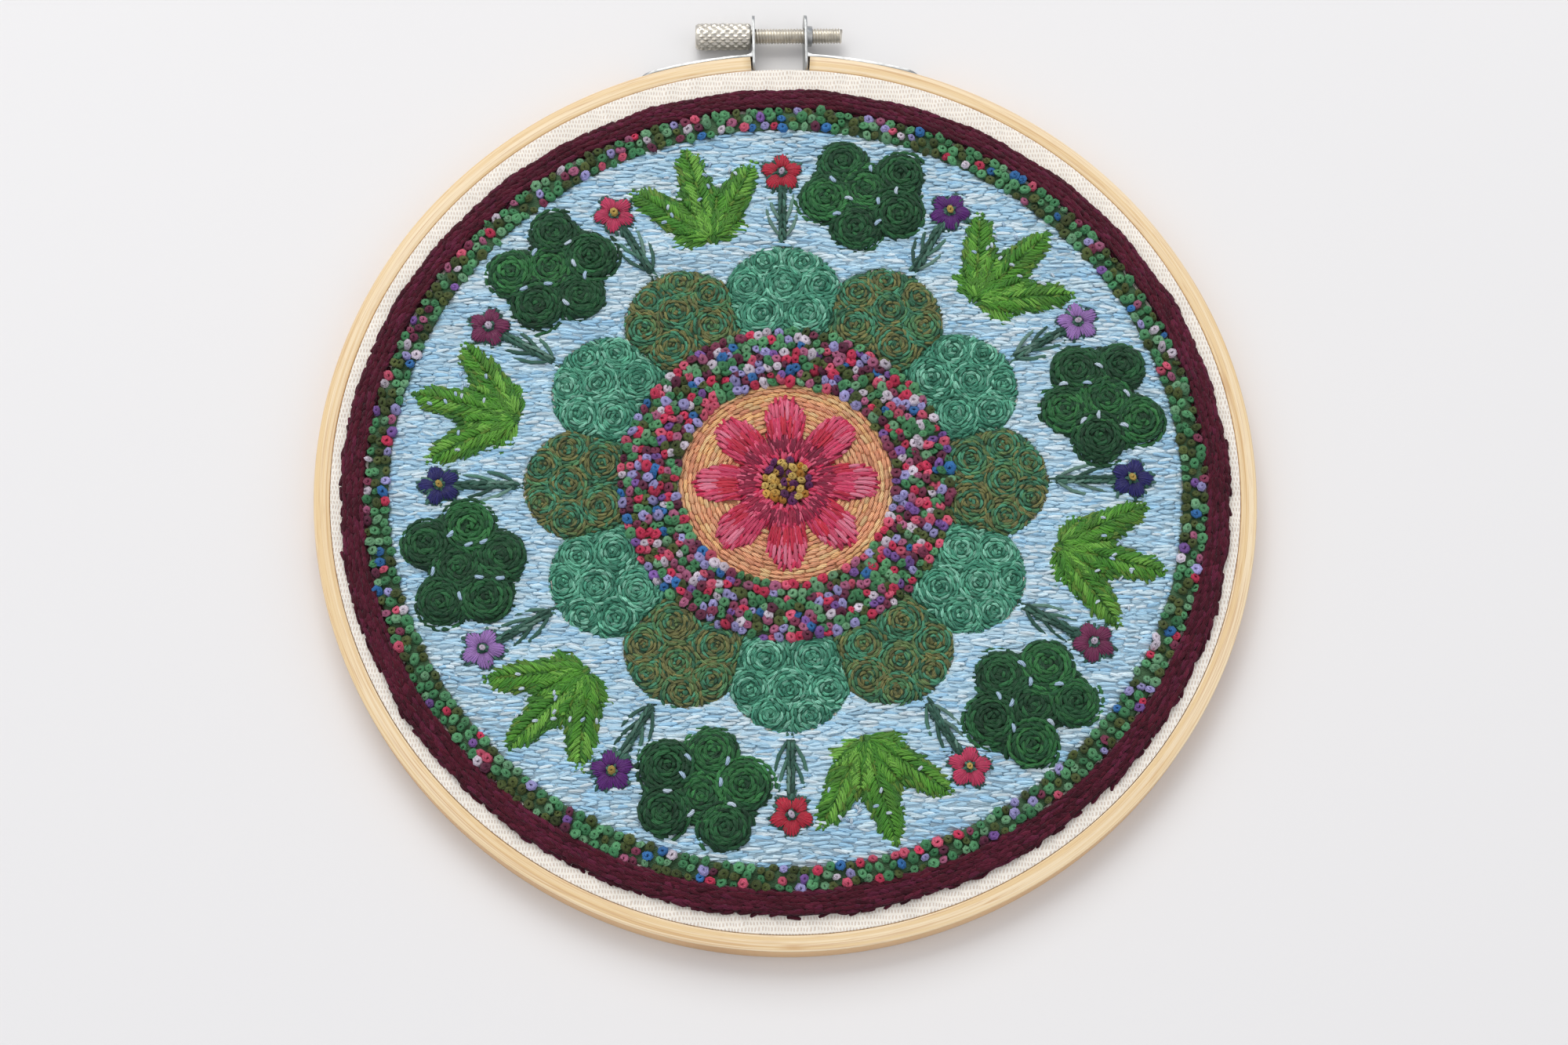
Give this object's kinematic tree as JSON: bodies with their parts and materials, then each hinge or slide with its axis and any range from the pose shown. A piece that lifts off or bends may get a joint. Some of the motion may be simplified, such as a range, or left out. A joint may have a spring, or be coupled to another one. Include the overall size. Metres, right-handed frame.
{
  "type": "hoop embroidery art in a bamboo embroidery hoop",
  "caption": "Round bamboo embroidery hoop with a thumb screw, holding a taut cloth stitched with a dark border and a dense floral wreath.",
  "frame": {"origin": "on the surface that the back of the rings rests on, under the middle of the whole outline", "axes": "+Z out of the stitched face, +Y towards the hoop's screw, +X to the right seen from the front"},
  "size_m": [0.21, 0.222, 0.0104],
  "materials": {
    "bamboo": "smooth pale bamboo with fine grain along the ring",
    "cotton_cloth": "plain woven natural cotton",
    "nickel": "nickel plated steel, slightly brushed",
    "maroon_thread": "stranded cotton thread in dark maroon",
    "sky_thread": "stranded cotton thread in three light blues",
    "teal_thread": "stranded cotton thread in teal greens",
    "olive_thread": "stranded cotton thread in olive and teal greens",
    "dark_green_thread": "stranded cotton thread in dark greens",
    "bright_green_thread": "stranded cotton thread in bright greens",
    "tan_thread": "stranded cotton thread in tan and copper",
    "knot_thread": "stranded cotton knots in mixed greens, pinks, purples and blues",
    "petal_thread": "stranded cotton satin stitches in reds, purples and lilacs"
  },
  "bodies": {
    "hoop": {"outer_ring": "bamboo", "inner_ring": "bamboo", "cloth": "cotton_cloth", "bracket_left": "nickel", "bracket_right": "nickel", "border_stitching": "maroon_thread", "edge_knots": "knot_thread", "ground_stitching": "sky_thread", "inner_knots": "knot_thread", "disc_stitching": "tan_thread", "middle_flower": "petal_thread", "heart_knots": "knot_thread", "scallop_1": "teal_thread", "scallop_2": "olive_thread", "scallop_3": "teal_thread", "scallop_4": "olive_thread", "scallop_5": "teal_thread", "scallop_6": "olive_thread", "scallop_7": "teal_thread", "scallop_8": "olive_thread", "scallop_9": "teal_thread", "scallop_10": "olive_thread", "scallop_11": "teal_thread", "scallop_12": "olive_thread", "flower_1": "petal_thread", "flower_2": "petal_thread", "flower_3": "petal_thread", "flower_4": "petal_thread", "flower_5": "petal_thread", "flower_6": "petal_thread", "flower_7": "petal_thread", "flower_8": "petal_thread", "flower_9": "petal_thread", "flower_10": "petal_thread", "flower_11": "petal_thread", "flower_12": "petal_thread", "whorls_1": "dark_green_thread", "whorls_2": "dark_green_thread", "whorls_3": "dark_green_thread", "whorls_4": "dark_green_thread", "whorls_5": "dark_green_thread", "whorls_6": "dark_green_thread", "fern_1": "bright_green_thread", "fern_2": "bright_green_thread", "fern_3": "bright_green_thread", "fern_4": "bright_green_thread", "fern_5": "bright_green_thread", "fern_6": "bright_green_thread"},
    "screw": {"thumb_screw": "nickel"}
  },
  "joints": [
    {"name": "screw_spin", "type": "hinge", "parent": "hoop", "child": "screw", "pos_m": [0, 0.1059, 0.00375], "axis": [1, 0, 0], "continuous": true}
  ]
}
